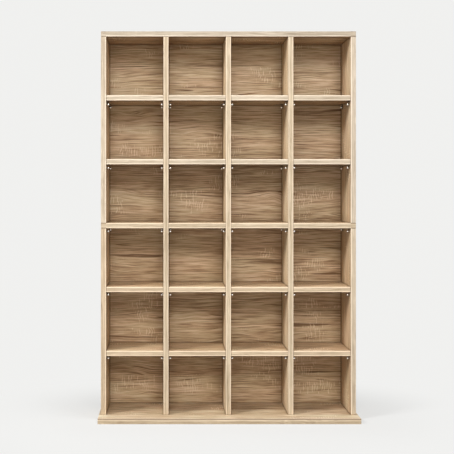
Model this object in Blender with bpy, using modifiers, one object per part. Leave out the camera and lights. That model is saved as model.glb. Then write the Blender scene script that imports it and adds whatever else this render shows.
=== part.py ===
"""Cubby shelf: a tall open rack of square cells for media cases, four wide and six high.

The carcass is cut from one stock of laminated board. Full height dividers cross a middle panel
in half-lap slots, the sides are split by that panel, and a thin sheet closes the back. Between
the fixed levels, loose shelves rest on small metal supports in the corners of every cell.

Frame: metres, +Z up, front towards -Y, origin at the centre of the footprint on the floor.
"""

import math

import bmesh
import bpy
from mathutils import Matrix, Vector

# Cells and boards
COLUMNS = 4
ROWS = 6
MIDDLE_LEVEL = 3
CELL_WIDTH = 0.195
CELL_HEIGHT = 0.200
BOARD = 0.018
BOARD_DEPTH = 0.162
BACK_SHEET = 0.003
BASE_JUT = 0.052
BASE_OVERHANG = 0.007
EDGE_ROUND = 0.0006

# Clearances
SEAT_GAP = 0.0003
REST_GAP = 0.0004
HOLE_GAP = 0.0003
SHELF_SIDE_GAP = 0.0005
SHELF_REAR_GAP = 0.0006
SHELF_SETBACK = 0.0010
BACK_MARGIN = 0.0015

# Half-lap between the dividers and the middle panel
DIVIDER_SLOT_DEPTH = 0.081

# Shelf supports: a bent steel angle held by a round-headed peg
SUPPORT_REACH = 0.0095
SUPPORT_WIDTH = 0.009
SUPPORT_HEIGHT = 0.0155
SUPPORT_SHEET = 0.0015
SUPPORT_BEND = 0.0015
SUPPORT_ROOT = 0.001
SUPPORT_FRONT_INSET = 0.025
SUPPORT_REAR_INSET = 0.028
PEG_DROP = 0.0102
PEG_HEAD_RADIUS = 0.0040
PEG_HEAD_REACH = 0.0090
PEG_DOME = 0.0014

# Screws through the base and the top into the uprights
SCREW_INSET = 0.035
SCREW_LENGTH = 0.050
SCREW_HEAD_RADIUS = 0.005
SCREW_HEAD_CONE = 0.004
SCREW_SHANK_RADIUS = 0.0035
SCREW_CORE_RADIUS = 0.0030
SCREW_RECESS = 0.0004
SOCKET_SIDES = 6
SOCKET_ACROSS_FLATS = 0.004
SOCKET_DEPTH = 0.0025

# Dowels through the ends of the middle panel
DOWEL_RADIUS = 0.004
DOWEL_LENGTH = 0.050
DOWEL_CHAMFER = 0.001
DOWEL_INSET = 0.050

# Facets on round pieces
ROUND_SIDES = 10

# Overlap of a cutter past the face it opens
CUT_PAST = 0.002

# Corners closer than this are one corner
SAME_CORNER = 0.000005
SAME_TURNED_CORNER = 0.00001

# Worked out from the values above
PITCH_X = CELL_WIDTH + BOARD
PITCH_Z = CELL_HEIGHT + BOARD
BODY_WIDTH = COLUMNS * PITCH_X + BOARD
BODY_HEIGHT = ROWS * PITCH_Z + BOARD
BASE_WIDTH = BODY_WIDTH + 2 * BASE_OVERHANG
BASE_DEPTH = BASE_JUT + BOARD_DEPTH + SEAT_GAP + BACK_SHEET
FRONT = -BASE_DEPTH / 2 + BASE_JUT
REAR = FRONT + BOARD_DEPTH
BACK_FACE = BASE_DEPTH / 2
LEFT = -BODY_WIDTH / 2

# Photographed colours (linear), roughness and metallic value of each finish
OAK_LAMINATE = ((0.55, 0.40, 0.26, 1.0), 0.55, 0.0)
OAK_SHEET = ((0.46, 0.32, 0.20, 1.0), 0.60, 0.0)
BEECH = ((0.62, 0.45, 0.29, 1.0), 0.65, 0.0)
ZINC = ((0.72, 0.71, 0.68, 1.0), 0.30, 1.0)


def clear_scene():
    """Start from an empty scene."""
    for old in list(bpy.data.objects):
        bpy.data.objects.remove(old, do_unlink=True)


def new_collection(name):
    """A collection of that name under the scene."""
    collection = bpy.data.collections.new(name)
    bpy.context.scene.collection.children.link(collection)
    return collection


clear_scene()
PIECES = new_collection("cubby_shelf")
CUTTERS = new_collection("cutters")


def finish(piece, look):
    """Give a piece its own material with the colour, roughness and metallic value of a finish."""
    colour, roughness, metallic = look
    material = bpy.data.materials.new(piece.name)
    material.use_nodes = True
    shader = material.node_tree.nodes["Principled BSDF"]
    shader.inputs["Base Color"].default_value = colour
    shader.inputs["Roughness"].default_value = roughness
    shader.inputs["Metallic"].default_value = metallic
    piece.data.materials.clear()
    piece.data.materials.append(material)
    return piece


def as_guide(piece):
    """Keep a cutter or template out of the picture."""
    piece.hide_render = True
    piece.display_type = "WIRE"
    return piece


def box(name, low, high, collection):
    """A block between two corners, with its origin at its centre."""
    low = Vector(low)
    high = Vector(high)
    size = high - low
    mesh = bpy.data.meshes.new(name)
    form = bmesh.new()
    bmesh.ops.create_cube(form, size=1.0, matrix=Matrix.Diagonal((size.x, size.y, size.z, 1.0)))
    form.to_mesh(mesh)
    form.free()
    piece = bpy.data.objects.new(name, mesh)
    piece.location = (low + high) / 2
    collection.objects.link(piece)
    return piece


def board(name, low, high, look):
    """A board with its long edges eased, as a laminated board leaves the edge bander."""
    piece = box(name, low, high, PIECES)
    ease = piece.modifiers.new("eased_edges", "BEVEL")
    ease.width = EDGE_ROUND
    ease.segments = 1
    ease.limit_method = "ANGLE"
    return finish(piece, look)


def turned(name, profile, sides):
    """A round piece from its half outline (radius, height), which runs from its top to its tip."""
    mesh = bpy.data.meshes.new(name)
    points = [(radius, 0.0, height) for radius, height in profile]
    edges = [(i, i + 1) for i in range(len(points) - 1)]
    mesh.from_pydata(points, edges, [])
    piece = bpy.data.objects.new(name, mesh)
    CUTTERS.objects.link(piece)
    spin = piece.modifiers.new("turn", "SCREW")
    spin.axis = "Z"
    spin.steps = sides
    spin.render_steps = sides
    spin.use_merge_vertices = True
    spin.merge_threshold = SAME_TURNED_CORNER
    return as_guide(piece)


def boolean(piece, tool, operation):
    """Cut a tool out of a piece, or join it on."""
    step = piece.modifiers.new(tool.name, "BOOLEAN")
    step.object = tool
    step.operation = operation
    step.solver = "EXACT"
    return piece


def made_mesh(piece, name):
    """The mesh of a piece with its modifiers applied, in world space, with loose caps welded."""
    graph = bpy.context.evaluated_depsgraph_get()
    graph.update()
    mesh = bpy.data.meshes.new_from_object(piece.evaluated_get(graph))
    mesh.name = name
    mesh.transform(piece.matrix_world)
    form = bmesh.new()
    form.from_mesh(mesh)
    bmesh.ops.remove_doubles(form, verts=form.verts, dist=SAME_CORNER)
    form.to_mesh(mesh)
    form.free()
    return mesh


def copies(name, mesh, places):
    """One guide object that holds a copy of a mesh at each place."""
    form = bmesh.new()
    for place in places:
        moved = mesh.copy()
        moved.transform(place)
        form.from_mesh(moved)
        bpy.data.meshes.remove(moved)
    joined = bpy.data.meshes.new(name)
    form.to_mesh(joined)
    form.free()
    piece = bpy.data.objects.new(name, joined)
    CUTTERS.objects.link(piece)
    return as_guide(piece)


def upright_x(index):
    """Centre of an upright: 0 is the left side, COLUMNS the right side, dividers between."""
    return LEFT + BOARD / 2 + index * PITCH_X


def underside(level):
    """Underside of a level: 0 is the base panel, ROWS the top panel."""
    return level * PITCH_Z


def topside(level):
    """Upper face of a level."""
    return underside(level) + BOARD


def screw_outline(clearance):
    """Half outline of a furniture screw, head at z = 0, tip down, grown by a clearance."""
    head_top = CUT_PAST if clearance else 0.0
    flare = head_top * (SCREW_HEAD_RADIUS - SCREW_SHANK_RADIUS) / SCREW_HEAD_CONE
    shank_end = SCREW_RECESS - BOARD - clearance / 2
    tip = -SCREW_LENGTH - clearance
    return [
        (0.0, head_top),
        (SCREW_HEAD_RADIUS + flare + clearance, head_top),
        (SCREW_SHANK_RADIUS + clearance, -SCREW_HEAD_CONE),
        (SCREW_SHANK_RADIUS + clearance, shank_end),
        (SCREW_CORE_RADIUS + clearance, shank_end),
        (SCREW_CORE_RADIUS + clearance, tip),
        (0.0, tip),
    ]


def dowel_outline(clearance):
    """Half outline of a chamfered dowel centred on z = 0, grown by a clearance."""
    end = DOWEL_LENGTH / 2 + clearance
    radius = DOWEL_RADIUS + clearance
    return [
        (0.0, end),
        (radius - DOWEL_CHAMFER, end),
        (radius, end - DOWEL_CHAMFER),
        (radius, DOWEL_CHAMFER - end),
        (radius - DOWEL_CHAMFER, -end),
        (0.0, -end),
    ]


def support_mesh():
    """One shelf support on a wall at x = 0, facing +X, with the shelf's seat at z = 0."""
    inner = SUPPORT_SHEET + SUPPORT_BEND
    outline = [
        (-SUPPORT_ROOT, 0.0),
        (-SUPPORT_ROOT, -SUPPORT_HEIGHT),
        (SUPPORT_SHEET, -SUPPORT_HEIGHT),
        (SUPPORT_SHEET, -inner),
        (inner, -SUPPORT_SHEET),
        (SUPPORT_REACH, -SUPPORT_SHEET),
        (SUPPORT_REACH, 0.0),
    ]
    curve = bpy.data.curves.new("support_angle", "CURVE")
    curve.dimensions = "2D"
    curve.fill_mode = "BOTH"
    curve.extrude = SUPPORT_WIDTH / 2
    spline = curve.splines.new("POLY")
    spline.points.add(len(outline) - 1)
    spline.use_cyclic_u = True
    for point, (across, down) in zip(spline.points, outline):
        point.co = (across, down, 0.0, 1.0)
    angle = bpy.data.objects.new("support_angle", curve)
    angle.rotation_euler = (math.pi / 2, 0.0, 0.0)
    CUTTERS.objects.link(angle)
    bpy.context.view_layer.update()
    angle_mesh = made_mesh(angle, "support_angle")
    bpy.data.objects.remove(angle, do_unlink=True)
    seat = as_guide(bpy.data.objects.new("support_seat", angle_mesh))
    CUTTERS.objects.link(seat)

    peg = turned(
        "support_peg",
        [
            (0.0, PEG_HEAD_REACH),
            (PEG_HEAD_RADIUS - PEG_DOME, PEG_HEAD_REACH),
            (PEG_HEAD_RADIUS, PEG_HEAD_REACH - PEG_DOME),
            (PEG_HEAD_RADIUS, 0.0),
            (0.0, 0.0),
        ],
        ROUND_SIDES,
    )
    peg.rotation_euler = (0.0, math.pi / 2, 0.0)
    peg.location = (0.0, 0.0, -PEG_DROP)
    bpy.context.view_layer.update()
    boolean(seat, peg, "UNION")
    return made_mesh(seat, "shelf_support")


def support_places(index, levels):
    """Where the supports of one upright stand: front and rear, under each level, on each open face."""
    places = []
    for level in levels:
        seat = underside(level) - REST_GAP
        for depth in (FRONT + SUPPORT_FRONT_INSET, REAR - SUPPORT_REAR_INSET):
            if index < COLUMNS:
                places.append(Matrix.Translation((upright_x(index) + BOARD / 2, depth, seat)))
            if index > 0:
                wall = Matrix.Translation((upright_x(index) - BOARD / 2, depth, seat))
                places.append(wall @ Matrix.Rotation(math.pi, 4, "Z"))
    return places


def screw_places():
    """Head centres of the base screws, pointing up, and of the top screws, pointing down."""
    base = {}
    top = {}
    for index in range(COLUMNS + 1):
        for spot, depth in (("front", FRONT + SCREW_INSET), ("rear", REAR - SCREW_INSET)):
            key = f"{index + 1}_{spot}"
            low = Matrix.Translation((upright_x(index), depth, SCREW_RECESS))
            base[key] = low @ Matrix.Rotation(math.pi, 4, "X")
            top[key] = Matrix.Translation((upright_x(index), depth, BODY_HEIGHT - SCREW_RECESS))
    return base, top


def dowel_places():
    """Centres of the dowels through the ends of the middle panel."""
    centre = (underside(MIDDLE_LEVEL) + topside(MIDDLE_LEVEL)) / 2
    places = {}
    for side, index in (("left", 0), ("right", COLUMNS)):
        for spot, depth in (("front", FRONT + DOWEL_INSET), ("rear", REAR - DOWEL_INSET)):
            places[f"{side}_{spot}"] = Matrix.Translation((upright_x(index), depth, centre))
    return places


SCREW_HOLE = made_mesh(turned("screw_hole", screw_outline(HOLE_GAP), ROUND_SIDES), "screw_hole")
DOWEL_HOLE = made_mesh(turned("dowel_hole", dowel_outline(HOLE_GAP), ROUND_SIDES), "dowel_hole")
SUPPORT = support_mesh()
BASE_SCREWS, TOP_SCREWS = screw_places()
DOWELS = dowel_places()
BASE_HOLES = copies("base_screw_holes", SCREW_HOLE, BASE_SCREWS.values())
TOP_HOLES = copies("top_screw_holes", SCREW_HOLE, TOP_SCREWS.values())
DOWEL_HOLES = copies("dowel_holes", DOWEL_HOLE, DOWELS.values())


def make_base():
    """The wide base panel, which juts out in front and stands a little past both sides."""
    low = (-BASE_WIDTH / 2, -BASE_DEPTH / 2, 0.0)
    high = (BASE_WIDTH / 2, BASE_DEPTH / 2, BOARD)
    panel = board("base_panel", low, high, OAK_LAMINATE)
    boolean(panel, BASE_HOLES, "DIFFERENCE")


def make_top():
    """The top panel, which lies over all the uprights and ends flush with the sides."""
    low = (LEFT, FRONT, underside(ROWS))
    high = (-LEFT, REAR, topside(ROWS))
    panel = board("top_panel", low, high, OAK_LAMINATE)
    boolean(panel, TOP_HOLES, "DIFFERENCE")


def make_side(name, index, bottom_level, top_level):
    """Half of a side, between two fixed levels, with its supports."""
    centre = upright_x(index)
    low = (centre - BOARD / 2, FRONT, topside(bottom_level) + SEAT_GAP)
    high = (centre + BOARD / 2, REAR, underside(top_level) - SEAT_GAP)
    side = board(name, low, high, OAK_LAMINATE)
    boolean(side, BASE_HOLES if bottom_level == 0 else TOP_HOLES, "DIFFERENCE")
    boolean(side, DOWEL_HOLES, "DIFFERENCE")
    levels = [n for n in range(bottom_level + 1, top_level + 1) if n < ROWS]
    supports = copies(name + "_supports", SUPPORT, support_places(index, levels))
    boolean(side, supports, "UNION")


def make_divider(name, index):
    """A full height divider, slotted from the rear where the middle panel crosses it."""
    centre = upright_x(index)
    low = (centre - BOARD / 2, FRONT, topside(0) + SEAT_GAP)
    high = (centre + BOARD / 2, REAR, underside(ROWS) - SEAT_GAP)
    divider = board(name, low, high, OAK_LAMINATE)
    slot_front = REAR - DIVIDER_SLOT_DEPTH - SEAT_GAP / 2
    slot = box(
        name + "_slot",
        (centre - BOARD / 2 - CUT_PAST, slot_front, underside(MIDDLE_LEVEL) - SEAT_GAP),
        (centre + BOARD / 2 + CUT_PAST, REAR + CUT_PAST, topside(MIDDLE_LEVEL) + SEAT_GAP),
        CUTTERS,
    )
    boolean(divider, as_guide(slot), "DIFFERENCE")
    boolean(divider, BASE_HOLES, "DIFFERENCE")
    boolean(divider, TOP_HOLES, "DIFFERENCE")
    supports = copies(name + "_supports", SUPPORT, support_places(index, range(1, ROWS)))
    boolean(divider, supports, "UNION")


def make_middle():
    """The middle panel, slotted from the front for the dividers, with its ends out to the sides."""
    low = (LEFT, FRONT, underside(MIDDLE_LEVEL))
    high = (-LEFT, REAR, topside(MIDDLE_LEVEL))
    panel = board("middle_panel", low, high, OAK_LAMINATE)
    boolean(panel, DOWEL_HOLES, "DIFFERENCE")
    slot_rear = REAR - DIVIDER_SLOT_DEPTH + SEAT_GAP / 2
    for index in range(1, COLUMNS):
        reach = BOARD / 2 + SEAT_GAP
        slot = box(
            f"middle_panel_slot_{index}",
            (upright_x(index) - reach, FRONT - CUT_PAST, underside(MIDDLE_LEVEL) - CUT_PAST),
            (upright_x(index) + reach, slot_rear, topside(MIDDLE_LEVEL) + CUT_PAST),
            CUTTERS,
        )
        boolean(panel, as_guide(slot), "DIFFERENCE")


def make_back():
    """The back sheet in two pieces, which meet behind the middle panel."""
    seam = (underside(MIDDLE_LEVEL) + topside(MIDDLE_LEVEL)) / 2
    front = REAR + SEAT_GAP
    spans = {
        "back_sheet_lower": (topside(0) + SEAT_GAP, seam - SEAT_GAP / 2),
        "back_sheet_upper": (seam + SEAT_GAP / 2, BODY_HEIGHT - BACK_MARGIN),
    }
    for name, (bottom, top) in spans.items():
        low = (LEFT + BACK_MARGIN, front, bottom)
        high = (-LEFT - BACK_MARGIN, BACK_FACE, top)
        finish(box(name, low, high, PIECES), OAK_SHEET)


def make_shelves():
    """The loose shelves, which rest on their supports and draw out to the front."""
    for level in range(1, ROWS):
        if level == MIDDLE_LEVEL:
            continue
        for column in range(COLUMNS):
            left = upright_x(column) + BOARD / 2 + SHELF_SIDE_GAP
            right = upright_x(column + 1) - BOARD / 2 - SHELF_SIDE_GAP
            low = (left, FRONT + SHELF_SETBACK, underside(level))
            high = (right, REAR + SEAT_GAP - SHELF_REAR_GAP, topside(level))
            board(f"shelf_level{level}_col{column + 1}", low, high, OAK_LAMINATE)


def make_screws():
    """Countersunk furniture screws with a hexagon socket."""
    blank = turned("screw_blank", screw_outline(0.0), ROUND_SIDES)
    socket_radius = SOCKET_ACROSS_FLATS / math.sqrt(3)
    socket = turned(
        "screw_socket",
        [
            (0.0, CUT_PAST),
            (socket_radius, CUT_PAST),
            (socket_radius, -SOCKET_DEPTH),
            (0.0, -SOCKET_DEPTH),
        ],
        SOCKET_SIDES,
    )
    boolean(blank, socket, "DIFFERENCE")
    screw = made_mesh(blank, "screw")
    for group, places in (("base", BASE_SCREWS), ("top", TOP_SCREWS)):
        for key, place in places.items():
            piece = bpy.data.objects.new(f"{group}_screw_{key}", screw.copy())
            PIECES.objects.link(piece)
            piece.matrix_world = place
            finish(piece, ZINC)


def make_dowels():
    """Beech dowels that join the side halves through the middle panel."""
    dowel = made_mesh(turned("dowel_blank", dowel_outline(0.0), ROUND_SIDES), "dowel")
    for key, place in DOWELS.items():
        piece = bpy.data.objects.new(f"side_dowel_{key}", dowel.copy())
        PIECES.objects.link(piece)
        piece.matrix_world = place
        finish(piece, BEECH)


make_base()
make_top()
make_side("left_side_lower", 0, 0, MIDDLE_LEVEL)
make_side("left_side_upper", 0, MIDDLE_LEVEL, ROWS)
make_side("right_side_lower", COLUMNS, 0, MIDDLE_LEVEL)
make_side("right_side_upper", COLUMNS, MIDDLE_LEVEL, ROWS)
for divider_index in range(1, COLUMNS):
    make_divider(f"divider_{divider_index}", divider_index)
make_middle()
make_back()
make_shelves()
make_screws()
make_dowels()
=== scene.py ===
"""Cubby shelf in sawn light oak: its finishes, supports and nails, on the solid boards."""

import math
import random

import bmesh
import bpy
from mathutils import Matrix, Vector


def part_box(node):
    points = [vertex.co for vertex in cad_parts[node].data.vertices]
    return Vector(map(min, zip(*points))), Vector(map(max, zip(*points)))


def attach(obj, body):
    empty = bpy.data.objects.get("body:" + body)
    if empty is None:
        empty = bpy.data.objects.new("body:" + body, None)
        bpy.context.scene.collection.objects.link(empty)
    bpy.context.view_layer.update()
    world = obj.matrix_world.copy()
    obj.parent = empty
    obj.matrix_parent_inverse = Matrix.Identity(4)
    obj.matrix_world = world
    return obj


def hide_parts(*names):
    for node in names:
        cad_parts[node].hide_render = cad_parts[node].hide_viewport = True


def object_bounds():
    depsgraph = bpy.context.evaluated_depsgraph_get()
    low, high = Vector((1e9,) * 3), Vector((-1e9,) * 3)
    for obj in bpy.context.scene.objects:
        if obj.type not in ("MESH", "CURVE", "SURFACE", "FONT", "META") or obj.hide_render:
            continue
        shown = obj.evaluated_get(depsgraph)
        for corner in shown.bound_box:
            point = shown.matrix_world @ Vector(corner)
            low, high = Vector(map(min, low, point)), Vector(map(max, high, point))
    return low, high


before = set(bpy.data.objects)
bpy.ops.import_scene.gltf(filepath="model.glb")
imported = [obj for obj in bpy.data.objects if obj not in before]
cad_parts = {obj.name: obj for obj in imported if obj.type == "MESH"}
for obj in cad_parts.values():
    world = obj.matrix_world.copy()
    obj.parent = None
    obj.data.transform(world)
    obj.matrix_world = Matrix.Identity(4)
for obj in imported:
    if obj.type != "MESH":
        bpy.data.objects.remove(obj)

CAD_LOW, CAD_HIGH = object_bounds()

# The carcass: how many cells, and thickness, gaps, eased edges and insets in metres
BOARD = 0.018
COLUMNS = 4
ROWS = 6
MIDDLE_LEVEL = 3
SEAT_GAP = 0.0003
REST_GAP = 0.0004
ARRIS = 0.0006
ARRIS_STEPS = 2
SUPPORT_FRONT_INSET = 0.025
SUPPORT_REAR_INSET = 0.028
DIVIDER_SLOT_DEPTH = 0.081

# Where the boards stand: the cells' pitch, and the planes of the carcass
CARCASS = "carcass"
PITCH_Z = (CAD_HIGH.z - BOARD) / ROWS
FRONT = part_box("top_panel")[0].y
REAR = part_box("top_panel")[1].y
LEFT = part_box("top_panel")[0].x
PITCH_X = (-2 * LEFT - BOARD) / COLUMNS

# The photograph's camera: metres, and shares of the picture's width
CAMERA_PLACE = (-0.200, -3.007, 0.784)
CAMERA_LENS = 68.6
CAMERA_SHIFT = (0.126, -0.081)
SENSOR = 36.0

# What the camera sees where the object isn't, as a share of white
BACKDROP_WHITE = 0.875
BACKDROP_COLOUR = (BACKDROP_WHITE, BACKDROP_WHITE, BACKDROP_WHITE * 0.985)
FLOOR_SIZE = 24.0
# How far round the base the floor shows its own light and shade, in metres
SHADOW_REACH = 0.45
SHADOW_SHARE = 0.44
FLOOR_COLOUR = (0.60, 0.60, 0.592)
# The white mixed with the floor at the base makes up for the floor being darker than the surround
NEAR_WHITE = (0.985, 0.985, 0.970)

# Lamps: degrees round from the front (positive is the shelf's right), degrees up, size, watts
LAMPS = (
    ("key", -57.0, 33.0, 1.5, 290.0),
    ("front_left", -8.0, 34.0, 1.5, 94.0),
    ("front_right", 12.0, 28.0, 1.5, 94.0),
    ("overhead", 55.0, 68.0, 2.2, 155.0),
)
LAMP_AIM = Vector((0.0, 0.0, 0.66))
LAMP_AWAY = 6.0
FILL_COLOUR = (1.0, 0.99, 0.97)
FILL_STRENGTH = 0.05


class Flow:
    """A value in a finish. Arithmetic on it adds the nodes that work the result out."""

    def __init__(self, finish, socket):
        self.finish = finish
        self.socket = socket

    def maths(self, operation, *values):
        """A Math node on this value."""
        return self.finish.node("ShaderNodeMath", {"operation": operation}, [self, *values])

    def __add__(self, other):
        return self.maths("ADD", other)

    def __sub__(self, other):
        return self.maths("SUBTRACT", other)

    def __rsub__(self, other):
        return self.finish.node("ShaderNodeMath", {"operation": "SUBTRACT"}, [other, self])

    def __mul__(self, other):
        return self.maths("MULTIPLY", other)

    __radd__ = __add__
    __rmul__ = __mul__

    def part(self, name):
        """Another output of the node this value comes from."""
        return Flow(self.finish, self.socket.node.outputs[name])

    def least(self, other):
        """The smaller of two values."""
        return self.maths("MINIMUM", other)

    def most(self, other):
        """The larger of two values."""
        return self.maths("MAXIMUM", other)

    def rise(self, start, end):
        """0 before start and 1 after end, with a soft step between."""
        return self.finish.node(
            "ShaderNodeMapRange",
            {"interpolation_type": "SMOOTHSTEP"},
            {"Value": self, "From Min": start, "From Max": end},
        )

    def fall(self, start, end):
        """1 before start and 0 after end."""
        return 1 - self.rise(start, end)


class Finish:
    """A node tree under construction, for a material or the world."""

    def __init__(self, owner):
        owner.use_nodes = True
        self.owner = owner
        self.tree = owner.node_tree
        self.tree.nodes.clear()

    def node(self, kind, settings=None, sockets=None, output=0):
        """Adds a node: its settings first, then the values or links of its sockets."""
        made = self.tree.nodes.new(kind)
        for key, value in (settings or {}).items():
            if key == "stops":
                while len(made.color_ramp.elements) < len(value):
                    made.color_ramp.elements.new(1.0)
                for element, (position, colour) in zip(made.color_ramp.elements, value):
                    element.position = position
                    element.color = (*colour, 1.0)
            else:
                setattr(made, key, value)
        pairs = sockets.items() if isinstance(sockets, dict) else enumerate(sockets or [])
        for key, value in pairs:
            if isinstance(value, Flow):
                self.tree.links.new(value.socket, made.inputs[key])
            elif isinstance(value, tuple) and len(value) == 3 and made.inputs[key].type == "RGBA":
                made.inputs[key].default_value = (*value, 1.0)
            else:
                made.inputs[key].default_value = value
        return Flow(self, made.outputs[output]) if made.outputs else None

    def spot(self):
        """Where on the object a point is, in metres."""
        return self.node("ShaderNodeTexCoord", output="Object")

    def axes(self):
        """The same place as three values."""
        parts = self.node("ShaderNodeSeparateXYZ", None, [self.spot()])
        return parts, parts.part("Y"), parts.part("Z")

    def point(self, first, second, third):
        """A place made of three values."""
        return self.node("ShaderNodeCombineXYZ", None, [first, second, third])

    def noise(self, spot, scale, detail=2.0):
        """Soft noise round one half, stretched by a scale for each direction."""
        stretched = self.node("ShaderNodeVectorMath", {"operation": "MULTIPLY"}, [spot, scale])
        return self.node(
            "ShaderNodeTexNoise", None, {"Vector": stretched, "Scale": 1.0, "Detail": detail}
        )

    def ramp(self, value, stops):
        """A colour read off a row of stops."""
        return self.node("ShaderNodeValToRGB", {"stops": stops}, [value])

    def mix(self, factor, first, second, blend="MIX"):
        """A colour between two."""
        return self.node(
            "ShaderNodeMix",
            {"data_type": "RGBA", "blend_type": blend},
            {0: factor, 6: first, 7: second},
            output=2,
        )

    def tinge(self, colour, tint):
        """A colour seen through a tint."""
        return self.mix(1.0, colour, tint, "MULTIPLY")

    def bump(self, height, strength, distance):
        """The slope that a relief gives the surface."""
        return self.node(
            "ShaderNodeBump", None, {"Strength": strength, "Distance": distance, "Height": height}
        )

    def surface(self, shader):
        """Puts a shader on the output."""
        world = isinstance(self.owner, bpy.types.World)
        self.node("ShaderNodeOutputWorld" if world else "ShaderNodeOutputMaterial", None, [shader])
        return self.owner

    def coat(self, sockets):
        """A plain surface with these sockets, on the output."""
        return self.surface(self.node("ShaderNodeBsdfPrincipled", None, sockets))


# Oak laminate, from the dark late wood to the palest early wood
OAK_TONES = (
    (0.00, (0.200, 0.112, 0.056)),
    (0.30, (0.430, 0.283, 0.165)),
    (0.60, (0.655, 0.484, 0.312)),
    (1.00, (0.820, 0.680, 0.500)),
)
# The band on the front edges, from its darker lines to the painted highlight along its arris
BAND_TONES = (
    (0.00, (0.330, 0.252, 0.170)),
    (0.40, (0.515, 0.417, 0.302)),
    (1.00, (0.850, 0.730, 0.570)),
)
CHIP_TONES = (
    (0.10, (0.250, 0.165, 0.095)),
    (0.50, (0.470, 0.345, 0.215)),
    (0.90, (0.680, 0.550, 0.380)),
)
FIBRE_TONES = (
    (0.30, (0.220, 0.140, 0.084)),
    (0.70, (0.390, 0.268, 0.170)),
)
# The colour of the glue and joint lines, and of the painted shade lines along the bands' arrises
GLUE_AND_SHADE_LINE = (0.200, 0.120, 0.070)
OLIVE_CAST = (0.975, 1.012, 0.985)
ROSY_CAST = (1.005, 0.988, 0.985)
# The colour of the painted shade and the dark joint line in the cells' corners
JOINT_AND_CORNER_SHADE = (0.130, 0.062, 0.016)
OAK_MEAN = 0.535
# How the laminate and the print take the light
OAK_SHEEN = 0.35
RELIEF_STRENGTH = 0.25
RELIEF_DEPTH = 0.0004
# The print's planks, rings and saw strokes, as many a metre
PLANKS = 13.0
RINGS = 85
SAW_STROKES = 118
SAW_MARKS_PALER = 0.46
# The edge band's thickness, and how deep the colour of a face goes into its neighbours
BAND_THICKNESS = 0.0008
SKIN = 0.0004
# Painted shade in the corners over the dark joint line: full and clear distance from the corner,
# and share, for the line and the wide veil
JOINT_SHADE_LINE = (0.0008, 0.0055, 0.58)
CORNER_SHADE_VEIL = (0.0, 0.035, 0.13)
# How much of that painted shade the boards take
BOARD_CORNER_SHADE = 0.75
# Painted shade at the foot of each cell's back, darkest at the bottom: how far up it goes, and its
# share
FOOT_SHADE_REACH = 0.070
FOOT_SHADE_SHARE = 0.09
# The band: how much of the laminate's figure it shows, and how much paler it is
BAND_FIGURE = 0.55
BAND_PALER = 0.37
NOSING_PALER = -0.03
# Distances from a band's edge: where the painted highlight on its arris ends, and the line of
# painted shade outside it
ARRIS_HIGHLIGHT = (0.0026, 0.0042)
ARRIS_SHADE = (0.0008, 0.0013)


def oak_figure(finish, run, across, thick, chance):
    """How pale the oak is at a point, its relief, its pores, its saw marks and its warmth."""
    across = across + chance.uniform(0, 30)
    plank = finish.node(
        "ShaderNodeTexVoronoi",
        {"voronoi_dimensions": "1D"},
        {"W": across, "Scale": PLANKS, "Randomness": 0.9},
        output="Color",
    )
    shade = finish.node("ShaderNodeSeparateColor", None, [plank])
    shift = shade.part("Green")
    run = run + chance.uniform(0, 30) + shift * 7
    straight = finish.point(run, across, thick + shift)
    wander = finish.noise(straight, (1.2, 5.0, 5.0))
    slope = finish.noise(straight, (4.5, 12.0, 12.0))
    crooked = finish.noise(straight, (2.2, 8.0, 8.0), 1.0).rise(0.52, 0.68)
    bent = across + (wander - 0.5) * 0.045 + (slope - 0.5) * (crooked * 0.055 + 0.005)
    spot = finish.point(run, bent, thick + shift)

    # The rings: dark late wood beside pale early wood, strong or weak from one ring to the next
    crowd = finish.noise(spot, (0.5, 26.0, 26.0), 1.0)
    rings = (bent + thick * 0.6) * RINGS + (crowd - 0.5) * 12 + shift * 17
    age = rings.maths("FRACT")
    late = age.rise(0.74, 0.94) * age.fall(0.95, 1.0)
    early = age.fall(0.02, 0.16)
    strong = finish.node(
        "ShaderNodeTexWhiteNoise", {"noise_dimensions": "1D"}, {"W": rings.maths("FLOOR")}
    )
    patchy = finish.noise(spot, (3.5, 45.0, 45.0)).rise(0.38, 0.58)

    # The finer figure between the rings, from broad bands down to pores
    broad = finish.noise(straight, (2.5, 12.0, 12.0))
    streak = finish.noise(spot, (4.0, 165.0, 165.0), 3.0)
    thread = finish.noise(spot, (11.0, 290.0, 290.0))
    fibre = finish.noise(straight, (20.0, 560.0, 560.0))
    pores = finish.noise(straight, (130.0, 2300.0, 2300.0), 1.0).rise(0.58, 0.70)

    # The saw marks: short pale strokes across the grain, in patches
    sway = finish.noise(straight, (22.0, 26.0, 26.0))
    strokes = run * SAW_STROKES + sway * 3.0 + shift * 5
    stroke = (strokes.maths("FRACT") - 0.5).maths("ABSOLUTE")
    short = finish.noise(straight, (118.0, 34.0, 34.0), 1.0).rise(0.46, 0.56)
    sawn = finish.noise(straight, (7.0, 9.0, 9.0), 1.0).rise(0.56, 0.63)
    saw_marks = stroke.fall(0.06, 0.22) * short * sawn

    tone = (
        (shade - 0.5) * 0.15
        + (broad - 0.5) * 0.60
        + (streak - 0.5) * 0.55
        + (thread - 0.5) * 1.45
        + (fibre - 0.5) * 0.95
        - late * patchy * (strong * 0.80 + 0.08)
        + early * patchy * 0.10
        - pores * 0.10
    )
    height = streak * 0.4 + thread * 0.3 + fibre * 0.5 - pores * 0.8 + saw_marks * 0.3
    warmth = finish.noise(straight, (4.0, 16.0, 16.0)).rise(0.35, 0.65)
    cast = finish.mix(warmth, OLIVE_CAST, ROSY_CAST)
    return tone, height, pores, saw_marks * SAW_MARKS_PALER, cast


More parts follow.
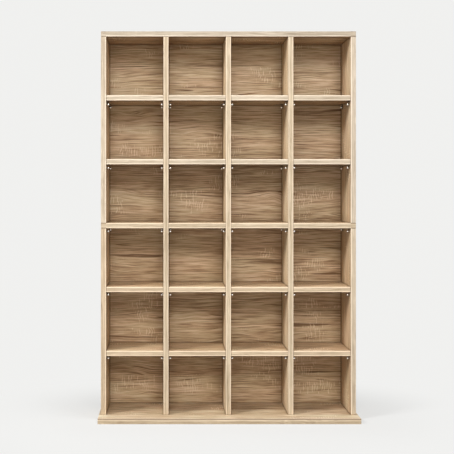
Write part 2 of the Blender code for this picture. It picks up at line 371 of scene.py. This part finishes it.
def chipboard(finish):
    """Bare pressed chips, as on the rear edges that carry no band."""
    flakes = finish.node(
        "ShaderNodeTexVoronoi",
        None,
        {"Vector": finish.spot(), "Scale": 420.0, "Randomness": 1.0},
        output="Color",
    )
    chip = finish.node("ShaderNodeSeparateColor", None, [flakes])
    dust_and_shade = finish.noise(finish.spot(), (1600.0, 1600.0, 1600.0))
    return finish.ramp(chip * 0.7 + dust_and_shade * 0.3, CHIP_TONES)


def pressed_fibre(finish):
    """The unprinted side of the back sheets."""
    mottle = finish.noise(finish.spot(), (150.0, 150.0, 150.0), 3.0)
    hair = finish.noise(finish.spot(), (1500.0, 500.0, 500.0))
    return finish.ramp(mottle * 0.5 + hair * 0.5, FIBRE_TONES)


def joint_line_and_corner_shade(finish, x, y, z, near_uprights, near_levels):
    """Painted shade round the joints of a cell, darkest in the corner itself, over a dark joint
    line.

    A surface that is near both uprights and levels is the back, and has no corner with itself.
    """
    apart = REAR - y
    if near_uprights:
        upright_face = (x - LEFT - BOARD / 2).maths("PINGPONG", PITCH_X / 2) - BOARD / 2
        apart = upright_face if near_levels else apart.least(upright_face)
    if near_levels:
        level_face = (z - BOARD / 2).maths("PINGPONG", PITCH_Z / 2) - BOARD / 2
        apart = apart.least(level_face.maths("ABSOLUTE"))
    within = x.maths("ABSOLUTE").fall(-LEFT - BOARD, -LEFT - BOARD + SKIN)
    line = apart.fall(*JOINT_SHADE_LINE[:2]) * JOINT_SHADE_LINE[2]
    veil = apart.fall(*CORNER_SHADE_VEIL[:2]) * CORNER_SHADE_VEIL[2]
    return (line + veil) * within


def oak_print(name, low, high, seed, tint, foot):
    """The back sheet: oak print in front, brown fibre behind and on its edges.

    foot is where the sheet's colour changes towards its lower edge, and how much paler it is there.
    """
    chance = random.Random(seed)
    finish = Finish(bpy.data.materials.new(name))
    x, y, z = finish.axes()
    tone, height, pores, sawn, cast = oak_figure(finish, x, z, y, chance)
    full, clear, paler = foot
    tone = tone + sawn + z.fall(full, clear) * paler
    colour = finish.ramp(tone + OAK_MEAN, OAK_TONES)
    colour = finish.tinge(finish.tinge(colour, cast), tint)
    # Painted shade in the corners, over the dark joint lines, and at the foot of each cell
    dust_and_shade = joint_line_and_corner_shade(finish, x, y, z, near_uprights=True, near_levels=True)
    # Painted shade at the foot of each cell's back
    foot_shade = (z - BOARD).maths("MODULO", PITCH_Z).fall(0.0, FOOT_SHADE_REACH) * FOOT_SHADE_SHARE
    colour = finish.mix(dust_and_shade.most(foot_shade), colour, JOINT_AND_CORNER_SHADE)
    side = (high.x - x.maths("ABSOLUTE")).least((high.z - z).least(z - low.z))
    bare = y.rise(high.y - 2 * SKIN, high.y - SKIN).most(side.fall(SKIN / 2, SKIN))
    colour = finish.mix(bare, colour, pressed_fibre(finish))
    return finish.coat({
        "Base Color": colour,
        "Roughness": 0.52 + pores * 0.10 + bare * 0.25,
        "Normal": finish.bump(height, RELIEF_STRENGTH, RELIEF_DEPTH),
        "Specular IOR Level": OAK_SHEEN,
    })


def oak_board(name, low, high, grain, seed, faces, tints, highlit_arrises=(), butts=False, nosing=False):
    """Oak laminate on one board, with its front edge band.

    grain is the axis the grain runs along. faces says for the board's low and high face how much
    paler it is, as painted light and shade, and whether it is inside the cells. tints are the
    painted light that tinges laminate and band. highlit_arrises are the sides, as an axis and -1
    or 1, on which the band gets a painted highlight along its arris. All but an upper one have a
    thin line of painted shade outside it. butts marks the ends that stand on another board.
    nosing is the base's front edge, with a painted highlight on its rim above a dark line, a
    painted lighter upper part, and the strip behind it painted paler for the light that falls on
    it. Past the sides' inner faces a band that runs across has no painted highlight, and a dark
    joint line where it meets a side.
    """
    chance = random.Random(seed)
    finish = Finish(bpy.data.materials.new(name))
    x, y, z = finish.axes()
    sides = {"x": x, "z": z}
    run, across, thick = (x, y, z) if grain == "x" else (z, y, x)
    tone, height, pores, sawn, cast = oak_figure(finish, run, across, thick, chance)
    into = y - low.y
    # Painted highlight, patchy, along the front edge of each board
    patchy_arris_highlight = finish.noise(finish.spot(), (30.0, 30.0, 30.0)).rise(0.45, 0.60)
    tone = tone + into.fall(0.0008, 0.0040) * (patchy_arris_highlight * 0.10 + 0.06)
    if nosing:
        # Painted highlight on the rim of the base's top, and its strip in front of the uprights
        # painted paler for the overhead light on it
        rim_highlight = into.fall(0.0030, 0.0048)
        lit_strip = y.fall(FRONT - 0.002, FRONT)
        tone = tone + rim_highlight * 0.22 + lit_strip * 0.30
    thin = 2 if grain == "x" else 0
    middle = (low[thin] + high[thin]) / 2
    high_side = thick.rise(middle - SKIN, middle + SKIN)
    # Each face's painted light and shade, and whether it is inside the cells
    (low_face_light, low_inside), (high_face_light, high_inside) = faces
    face_light = high_side * (high_face_light - low_face_light) + low_face_light
    inside = high_side * (high_inside - low_inside) + low_inside
    if grain == "x":
        # Painted shade on the underside of a board inside the cells, just behind its front edge
        underside_shade = into.rise(0.002, 0.006) * into.fall(0.020, 0.042)
        tone = tone - (1.0 - high_side) * low_inside * underside_shade * 0.30
    colour = finish.ramp(tone + sawn + face_light + OAK_MEAN, OAK_TONES)
    colour = finish.tinge(finish.tinge(colour, cast), tints[0])
    # Painted shade in the corners of the cells, over the dark joint lines
    dust_and_shade = joint_line_and_corner_shade(finish, x, y, z, near_uprights=grain == "x", near_levels=grain == "z")
    dust_and_shade = dust_and_shade * inside * y.rise(FRONT, FRONT + 0.002) * BOARD_CORNER_SHADE
    colour = finish.mix(dust_and_shade, colour, JOINT_AND_CORNER_SHADE)

    band = into.fall(BAND_THICKNESS, BAND_THICKNESS + 0.0002)
    seam = band * into.rise(BAND_THICKNESS - 0.0003, BAND_THICKNESS - 0.0001)
    nick = finish.noise(finish.spot(), (420.0, 420.0, 420.0), 3.0).rise(0.62, 0.68)
    between_sides = 1.0
    if grain == "x":
        between_sides = x.maths("ABSOLUTE").fall(-LEFT - BOARD - SKIN, -LEFT - BOARD + SKIN)
    band_tone = tone * BAND_FIGURE + (NOSING_PALER if nosing else BAND_PALER)
    arris_shade_line = 0.0
    # Each listed arris of the band gets a painted highlight, less where it is nicked, and all but
    # an upper one a thin line of painted shade outside it
    for axis, side in highlit_arrises:
        edge = (high if side > 0 else low)["xyz".index(axis)]
        inward = (edge - sides[axis]) * side
        nicked = inward.fall(0.0008, 0.0012) * nick
        band_tone = band_tone + inward.fall(*ARRIS_HIGHLIGHT) * between_sides * 0.60 - nicked * 0.30
        if (axis, side) != ("z", 1):
            arris_shade_line = arris_shade_line + inward.fall(*ARRIS_SHADE) * between_sides * 0.8
    if nosing:
        # Painted light and shade on the base's front band: its upper part paler than its lower part
        lit_upper_band = z.rise(0.0070, 0.0125)
        band_tone = band_tone + lit_upper_band * 0.40
    band_colour = finish.tinge(finish.ramp(band_tone, BAND_TONES), tints[1])
    # The thin line of painted shade along the arrises, in the joint colour
    if highlit_arrises:
        band_colour = finish.mix(arris_shade_line, band_colour, GLUE_AND_SHADE_LINE)
    colour = finish.mix(band, colour, band_colour)
    colour = finish.mix(seam * 0.6, colour, GLUE_AND_SHADE_LINE)
    rim = (high.z - z).least(z - low.z)
    if butts:
        meets_end = rim.fall(0.0009, 0.0013)
        colour = finish.mix(meets_end * 0.5, colour, GLUE_AND_SHADE_LINE)
    if grain == "x" and not nosing:
        meets_side = rim.fall(0.0016, 0.0024) * (1.0 - between_sides)
        colour = finish.mix(meets_side * 0.55, colour, GLUE_AND_SHADE_LINE)
    if nosing:
        crest = band * (high.z - z).fall(0.0030, 0.0040)
        colour = finish.mix(crest * 0.75, colour, GLUE_AND_SHADE_LINE)
    bare = y.rise(high.y - SKIN, high.y - SKIN / 2)
    colour = finish.mix(bare, colour, chipboard(finish))
    return finish.coat({
        "Base Color": colour,
        "Roughness": 0.50 + pores * 0.10 + bare * 0.30,
        "Normal": finish.bump(height, RELIEF_STRENGTH, RELIEF_DEPTH),
        "Specular IOR Level": OAK_SHEEN,
    })


def bright_nickel():
    """Polished nickel on the pegs' heads, a little clouded."""
    finish = Finish(bpy.data.materials.new("bright_nickel"))
    cloud = finish.noise(finish.spot(), (260.0, 260.0, 260.0), 3.0)
    scratch = finish.noise(finish.spot(), (900.0, 2600.0, 300.0), 1.0)
    return finish.coat({
        "Base Color": finish.ramp(
            cloud, ((0.30, (0.97, 0.955, 0.92)), (0.65, (1.0, 0.99, 0.96)))
        ),
        "Roughness": 0.09 + (cloud - 0.5) * 0.08 + (scratch - 0.5) * 0.04,
        "Metallic": 1.0,
    })


def brown_lacquer_dark_as_shade():
    """Dark brown lacquer on the supports' bent angles, as dark as the shade round them: partly
    painted shade. It is thin and greyer where it is rubbed.
    """
    finish = Finish(bpy.data.materials.new("brown_lacquer_dark_as_shade"))
    cloud = finish.noise(finish.spot(), (180.0, 180.0, 180.0), 3.0)
    worn = finish.noise(finish.spot(), (700.0, 700.0, 700.0), 3.0).rise(0.60, 0.66)
    colour = finish.ramp(cloud, ((0.30, (0.105, 0.070, 0.045)), (0.70, (0.165, 0.112, 0.072))))
    return finish.coat({
        "Base Color": finish.mix(worn * 0.5, colour, (0.300, 0.270, 0.230)),
        "Roughness": 0.42 + (cloud - 0.5) * 0.2,
        "Specular IOR Level": 0.4,
    })


def zinc():
    """Zinc plate on the screws and nails."""
    finish = Finish(bpy.data.materials.new("zinc_plate"))
    cloud = finish.noise(finish.spot(), (340.0, 340.0, 340.0), 3.0)
    return finish.coat({
        "Base Color": finish.ramp(
            cloud, ((0.30, (0.46, 0.46, 0.45)), (0.70, (0.70, 0.70, 0.68)))
        ),
        "Roughness": 0.32 + (cloud - 0.5) * 0.3,
        "Metallic": 1.0,
    })


def beech():
    """Turned beech with its small dark flecks."""
    finish = Finish(bpy.data.materials.new("beech"))
    fleck = finish.noise(finish.spot(), (1900.0, 1900.0, 320.0), 1.0).rise(0.60, 0.70)
    tone = finish.noise(finish.spot(), (500.0, 500.0, 24.0))
    return finish.coat({
        "Base Color": finish.ramp(
            tone - fleck * 0.3, ((0.25, (0.50, 0.34, 0.21)), (0.75, (0.68, 0.50, 0.33)))
        ),
        "Roughness": 0.55 + fleck * 0.1,
    })


def upright_x(index):
    """Centre of an upright: 0 is the left side, COLUMNS the right side."""
    return LEFT + BOARD / 2 + index * PITCH_X


def closed_mesh(name, form):
    """The mesh of a form whose faces all look outward."""
    bmesh.ops.recalc_face_normals(form, faces=form.faces)
    mesh = bpy.data.meshes.new(name)
    form.to_mesh(mesh)
    form.free()
    return mesh


def new_piece(name, form, materials):
    """A finished piece that rides on the carcass."""
    mesh = closed_mesh(name, form)
    for material in materials:
        mesh.materials.append(material)
    piece = bpy.data.objects.new(name, mesh)
    bpy.context.scene.collection.objects.link(piece)
    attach(piece, CARCASS)
    return piece


# Painted light that tinges the laminate and the band of a board: the lower half is a little warmer
# in colour, the right side's bands paler and the top's band darker
UPPER_TINTS = ((1.0, 1.0, 1.0), (1.02, 1.02, 1.02))
LOWER_TINTS = ((0.99, 0.965, 0.930), (1.08, 1.020, 0.940))
DIVIDER_TINTS = ((0.99, 0.980, 0.960), (1.0, 0.960, 0.895))
TOP_TINTS = ((1.0, 1.0, 1.0), (0.90, 0.91, 0.93))
BASE_TINTS = ((0.98, 1.01, 1.040), (1.0, 0.955, 0.870))
RIGHT_LOWER_TINTS = ((0.99, 0.965, 0.930), (1.13, 1.120, 1.110))
RIGHT_UPPER_TINTS = ((1.0, 1.0, 1.0), (1.10, 1.110, 1.15))
# Each board draws its own figure: the first number of each kind of board
UPRIGHT_SEED = 100
BASE_SEED = 200
TOP_SEED = 201
MIDDLE_SEED = 202
SHELF_SEED = 300
BACK_SEED = 400
# Painted light on a panel's face: how much paler it is than plain laminate; below zero it is
# darker, as painted shade
TOP_UNDERSIDE_SHADE = -0.22
MIDDLE_UNDERSIDE_SHADE = -0.18
LOWER_UNDERSIDE_SHADE = -0.18
UPPER_UNDERSIDE_SHADE = -0.27
SHELF_UPPER_FACE_LIGHT = 0.03
BASE_UPPER_FACE_SHADE = -0.08


def upright(name, node, index, seed, faces, tints):
    """A side half or a divider, cut to the outline of its node, with eased edges."""
    low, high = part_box(node)
    centre = upright_x(index)
    outline = [(FRONT, low.z), (REAR, low.z), (REAR, high.z), (FRONT, high.z)]
    if 0 < index < COLUMNS:
        slot_front = REAR - DIVIDER_SLOT_DEPTH - SEAT_GAP / 2
        slot_low = MIDDLE_LEVEL * PITCH_Z - SEAT_GAP
        slot_high = MIDDLE_LEVEL * PITCH_Z + BOARD + SEAT_GAP
        outline[2:2] = [
            (REAR, slot_low), (slot_front, slot_low), (slot_front, slot_high), (REAR, slot_high)
        ]
    form = bmesh.new()
    ring = [form.verts.new((centre - BOARD / 2, depth, up)) for depth, up in outline]
    face = form.faces.new(ring)
    grown = bmesh.ops.extrude_face_region(form, geom=[face])
    moved = [v for v in grown["geom"] if isinstance(v, bmesh.types.BMVert)]
    bmesh.ops.translate(form, verts=moved, vec=(BOARD, 0.0, 0.0))
    board_low = Vector((centre - BOARD / 2, FRONT, low.z))
    board_high = Vector((centre + BOARD / 2, REAR, high.z))
    inner_sides = [("x", side) for side in (-1, 1) if 0 <= index + side <= COLUMNS]
    material = oak_board(
        name + "_oak", board_low, board_high, "z", seed, faces, tints, inner_sides, butts=True
    )
    piece = new_piece(name, form, [material])
    ease = piece.modifiers.new("eased_edges", "BEVEL")
    ease.width = ARRIS
    ease.segments = ARRIS_STEPS
    ease.limit_method = "ANGLE"
    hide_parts(node)


def turned(form, outline, sides, place, finish_index=0):
    """A turned shape along +X, then placed. outline runs from tip to root, as reach and radius."""
    circles = []
    for reach, radius in outline:
        count = sides if radius else 1
        circles.append([
            form.verts.new(place @ Vector((
                reach,
                radius * math.cos(2 * math.pi * side / sides),
                radius * math.sin(2 * math.pi * side / sides),
            )))
            for side in range(count)
        ])
    faces = []
    for first, second in zip(circles, circles[1:]):
        for side in range(sides):
            after = (side + 1) % sides
            if len(first) == 1:
                faces.append(form.faces.new((first[0], second[side], second[after])))
            else:
                corners = (first[side], first[after], second[after], second[side])
                faces.append(form.faces.new(corners))
    faces.append(form.faces.new(circles[-1]))
    for face in faces:
        face.material_index = finish_index


# The support: a bent steel angle held by a round-headed peg
PEG_OUTLINE = (
    (0.0090, 0.0000),
    (0.0089, 0.0018),
    (0.0087, 0.0028),
    (0.0082, 0.0036),
    (0.0075, 0.0040),
    (0.0020, 0.0040),
    (0.0017, 0.0038),
    (0.0013, 0.0038),
)
PEG_SIDES = 20
PEG_CRISP_DEGREES = 40
PEG_DROP = 0.0102
# The leg lies on the wall, let in a little; the tab carries the shelf
LEG_HEIGHT = 0.0155
LEG_ROOT = 0.0004
TAB_REACH = 0.0095
SUPPORT_WIDTH = 0.009
SHEET = 0.0015
BEND = 0.0015
BEND_STEPS = 5
# The rounded corners at the ends of the leg and the tab
CORNER = 0.0022
CORNER_STEPS = 4
# The pegs take the second of a support's two finishes
PEG_FINISH = 1


def angle_stations():
    """The bent angle from the leg's end to the tab's: outer point, inner point, half width."""
    half = SUPPORT_WIDTH / 2
    turns = [math.radians(90.0 * step / CORNER_STEPS) for step in range(CORNER_STEPS + 1)]
    rounding = [
        (CORNER * (1 - math.cos(turn)), half - CORNER + CORNER * math.sin(turn)) for turn in turns
    ]
    leg = [
        ((-LEG_ROOT, away - LEG_HEIGHT), (SHEET, away - LEG_HEIGHT), width)
        for away, width in rounding
    ]
    bend = []
    outer = SHEET + BEND
    for step in range(BEND_STEPS + 1):
        turn = math.radians(90.0 * step / BEND_STEPS)
        root = LEG_ROOT * (1 - step / BEND_STEPS)
        bend.append((
            (outer - outer * math.cos(turn) - root, outer * math.sin(turn) - outer),
            (outer - BEND * math.cos(turn), BEND * math.sin(turn) - outer),
            half,
        ))
    tab = [
        ((TAB_REACH - away, 0.0), (TAB_REACH - away, -SHEET), width)
        for away, width in reversed(rounding)
    ]
    return leg + bend + tab


def support_form():
    """One shelf support on a wall at x = 0 that faces +X, with the shelf's seat at z = 0."""
    form = bmesh.new()
    rows = []
    for (outer_x, outer_z), (inner_x, inner_z), width in angle_stations():
        rows.append([
            form.verts.new((outer_x, -width, outer_z)),
            form.verts.new((outer_x, width, outer_z)),
            form.verts.new((inner_x, width, inner_z)),
            form.verts.new((inner_x, -width, inner_z)),
        ])
    for first, second in zip(rows, rows[1:]):
        for side in range(4):
            after = (side + 1) % 4
            form.faces.new((first[side], first[after], second[after], second[side]))
    form.faces.new(rows[0])
    form.faces.new(list(reversed(rows[-1])))
    turned(form, PEG_OUTLINE, PEG_SIDES, Matrix.Translation((0.0, 0.0, -PEG_DROP)), PEG_FINISH)
    return closed_mesh("support_form", form)


def smooth_round(piece, crisp_degrees):
    """Smooth round faces, with a crisp edge where two meet at more than this many degrees."""
    for polygon in piece.data.polygons:
        polygon.use_smooth = True
    soften = piece.modifiers.new("crisp_edges", "EDGE_SPLIT")
    soften.split_angle = math.radians(crisp_degrees)


def supports(name, index, levels, mesh, materials):
    """All the shelf supports of one upright, front and rear, on each open face."""
    form = bmesh.new()
    for level in levels:
        seat = level * PITCH_Z - REST_GAP
        for depth in (FRONT + SUPPORT_FRONT_INSET, REAR - SUPPORT_REAR_INSET):
            for facing in (1, -1):
                if (facing == 1 and index == COLUMNS) or (facing == -1 and index == 0):
                    continue
                wall = Matrix.Translation((upright_x(index) + facing * BOARD / 2, depth, seat))
                if facing == -1:
                    wall = wall @ Matrix.Rotation(math.pi, 4, "Z")
                copy = mesh.copy()
                copy.transform(wall)
                form.from_mesh(copy)
                bpy.data.meshes.remove(copy)
    smooth_round(new_piece(name, form, materials), PEG_CRISP_DEGREES)


def dress_uprights():
    """The seven uprights, each a board with eased edges and the shelf supports on it."""
    materials = [brown_lacquer_dark_as_shade(), bright_nickel()]
    support = support_form()
    low_levels = range(1, MIDDLE_LEVEL + 1)
    high_levels = range(MIDDLE_LEVEL + 1, ROWS)
    # Node, place from the left, levels with supports, its left and right face as painted light and
    # whether it is inside, its tints
    uprights = (
        ("left_side_lower", 0, low_levels, ((0.05, 0), (0.03, 1)), LOWER_TINTS),
        ("left_side_upper", 0, high_levels, ((0.05, 0), (0.07, 1)), UPPER_TINTS),
        ("divider_1", 1, range(1, ROWS), ((0.12, 1), (0.07, 1)), DIVIDER_TINTS),
        ("divider_2", 2, range(1, ROWS), ((0.21, 1), (0.07, 1)), DIVIDER_TINTS),
        ("divider_3", 3, range(1, ROWS), ((0.21, 1), (0.07, 1)), DIVIDER_TINTS),
        ("right_side_lower", COLUMNS, low_levels, ((0.08, 1), (0.05, 0)), RIGHT_LOWER_TINTS),
        ("right_side_upper", COLUMNS, high_levels, ((0.15, 1), (0.05, 0)), RIGHT_UPPER_TINTS),
    )
    for seed, (node, index, levels, faces, tints) in enumerate(uprights):
        upright(node + "_board", node, index, UPRIGHT_SEED + seed, faces, tints)
        supports(node + "_shelf_supports", index, levels, support, materials)
    bpy.data.meshes.remove(support)


def refinish(node, material):
    """Gives a board, screw or dowel its finish."""
    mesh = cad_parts[node].data
    mesh.materials.clear()
    mesh.materials.append(material)


def dress_panels():
    """Finishes on the boards that keep their plain form."""
    both = (("z", -1), ("z", 1))
    low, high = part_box("base_panel")
    faces = ((0.0, 0), (BASE_UPPER_FACE_SHADE, 1))
    refinish("base_panel", oak_board(
        "base_panel_oak", low, high, "x", BASE_SEED, faces, BASE_TINTS, nosing=True
    ))
    low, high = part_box("top_panel")
    faces = ((TOP_UNDERSIDE_SHADE, 1), (0.0, 0))
    refinish("top_panel", oak_board(
        "top_panel_oak", low, high, "x", TOP_SEED, faces, TOP_TINTS, (("z", -1),)
    ))
    low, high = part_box("middle_panel")
    faces = ((MIDDLE_UNDERSIDE_SHADE, 1), (0.0, 1))
    refinish("middle_panel", oak_board(
        "middle_panel_oak", low, high, "x", MIDDLE_SEED, faces, DIVIDER_TINTS, both
    ))
    for seed, node in enumerate(sorted(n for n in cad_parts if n.startswith("shelf_level"))):
        low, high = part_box(node)
        lower = high.z < MIDDLE_LEVEL * PITCH_Z
        tints = LOWER_TINTS if lower else UPPER_TINTS
        faces = ((LOWER_UNDERSIDE_SHADE if lower else UPPER_UNDERSIDE_SHADE, 1), (SHELF_UPPER_FACE_LIGHT, 1))
        refinish(node, oak_board(
            node + "_oak", low, high, "x", SHELF_SEED + seed, faces, tints, both
        ))
    for node, seed, tints, foot in (
        ("back_sheet_lower", BACK_SEED, LOWER_TINTS, (0.10, 0.20, 0.05)),
        ("back_sheet_upper", BACK_SEED + 1, UPPER_TINTS, (0.80, 0.90, -0.09)),
    ):
        low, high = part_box(node)
        refinish(node, oak_print(node + "_print", low, high, seed, tints[0], foot))


# The nail heads in the back: a low dome, as reach and radius, and how they are spaced
NAIL_OUTLINE = (
    (0.00035, 0.0000),
    (0.00033, 0.0012),
    (0.00024, 0.0021),
    (0.00008, 0.0026),
    (-0.00030, 0.0026),
)
NAIL_SIDES = 16
NAIL_CRISP_DEGREES = 50
NAIL_SPACING = 0.105
NAIL_END = 0.030
NAIL_INSET = 0.0045
# Where the nails along a level stand between two uprights
NAIL_SHARES = (0.25, 0.5, 0.75)


def back_nails(name, node, rims, material):
    """Nail heads through one back sheet, along the uprights and along the fixed levels it meets."""
    low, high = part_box(node)
    places = []
    span = high.z - low.z - 2 * NAIL_END
    count = round(span / NAIL_SPACING)
    for index in range(COLUMNS + 1):
        for nail in range(count + 1):
            places.append((upright_x(index), low.z + NAIL_END + span * nail / count))
    for rim in rims:
        for column in range(COLUMNS):
            places += [(upright_x(column) + PITCH_X * share, rim) for share in NAIL_SHARES]
    form = bmesh.new()
    for across, up in places:
        head = Matrix.Translation((across, high.y, up)) @ Matrix.Rotation(math.pi / 2, 4, "Z")
        turned(form, NAIL_OUTLINE, NAIL_SIDES, head)
    smooth_round(new_piece(name, form, [material]), NAIL_CRISP_DEGREES)


def dress_fixings():
    """Finishes on the screws and dowels, and the nails in the back."""
    plate = zinc()
    wood = beech()
    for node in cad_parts:
        if "_screw_" in node:
            refinish(node, plate)
        elif "_dowel_" in node:
            refinish(node, wood)
    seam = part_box("back_sheet_lower")[1].z
    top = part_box("back_sheet_upper")[1].z
    back_nails("back_nails_lower", "back_sheet_lower", [seam - NAIL_INSET], plate)
    back_nails("back_nails_upper", "back_sheet_upper", [seam + NAIL_INSET, top - NAIL_INSET], plate)


def background_rays(finish):
    """1 for the rays that should meet the plain white surround."""
    path = finish.node("ShaderNodeLightPath", output="Is Camera Ray")
    return (path + path.part("Is Glossy Ray") + path.part("Is Transmission Ray")).least(1.0)


def make_floor():
    """A pale floor that keeps the shelf's shadow and runs on into the white surround."""
    bpy.ops.mesh.primitive_plane_add(size=FLOOR_SIZE, location=(0.0, 0.0, 0.0))
    floor = bpy.context.object
    floor.name = "floor"
    finish = Finish(bpy.data.materials.new("pale_floor"))
    x, y = finish.axes()[:2]
    beside = (x.maths("ABSOLUTE") - CAD_HIGH.x).most(0.0)
    before = (y.maths("ABSOLUTE") - CAD_HIGH.y).most(0.0)
    away = (beside * beside + before * before).maths("SQRT")
    near = away.fall(0.0, SHADOW_REACH)
    veil = 1.0 - near * SHADOW_SHARE
    lit = finish.node(
        "ShaderNodeBsdfPrincipled",
        None,
        {"Base Color": FLOOR_COLOUR, "Roughness": 0.8, "Specular IOR Level": 0.2},
    )
    white = finish.mix(near, BACKDROP_COLOUR, NEAR_WHITE)
    glow = finish.node("ShaderNodeEmission", None, {"Color": white, "Strength": 1.0})
    shown = finish.node("ShaderNodeMixShader", None, [background_rays(finish) * veil, lit, glow])
    floor.data.materials.append(finish.surface(shown))


def make_surround():
    """The plain white that the camera sees behind the shelf, and a little fill light."""
    world = bpy.data.worlds.new("studio")
    bpy.context.scene.world = world
    air = Finish(world)
    fill = air.node("ShaderNodeBackground", None, {"Color": FILL_COLOUR, "Strength": FILL_STRENGTH})
    seen = air.node("ShaderNodeBackground", None, {"Color": BACKDROP_COLOUR, "Strength": 1.0})
    air.surface(air.node("ShaderNodeMixShader", None, [background_rays(air), fill, seen]))


def make_lamps():
    """Large soft lamps round the front, all aimed at the middle of the shelf."""
    for name, round_angle, up_angle, size, watts in LAMPS:
        turn = math.radians(round_angle)
        rise = math.radians(up_angle)
        away = Vector((
            math.sin(turn) * math.cos(rise), -math.cos(turn) * math.cos(rise), math.sin(rise)
        ))
        data = bpy.data.lights.new(name, "AREA")
        data.shape = "SQUARE"
        data.size = size
        data.energy = watts
        lamp = bpy.data.objects.new(name, data)
        lamp.location = LAMP_AIM + away * LAMP_AWAY
        lamp.rotation_euler = (-away).to_track_quat("-Z", "Y").to_euler()
        bpy.context.scene.collection.objects.link(lamp)


def make_camera():
    """The photograph's view: level, a little left of the middle, framed by a small shift."""
    data = bpy.data.cameras.new("camera")
    data.sensor_width = SENSOR
    data.lens = CAMERA_LENS
    data.shift_x, data.shift_y = CAMERA_SHIFT
    camera = bpy.data.objects.new("camera", data)
    camera.location = CAMERA_PLACE
    camera.rotation_euler = (math.pi / 2, 0.0, 0.0)
    bpy.context.scene.collection.objects.link(camera)
    bpy.context.scene.camera = camera


dress_uprights()
dress_panels()
dress_fixings()
make_floor()
make_surround()
make_lamps()
make_camera()
bpy.context.scene.view_settings.view_transform = "Standard"
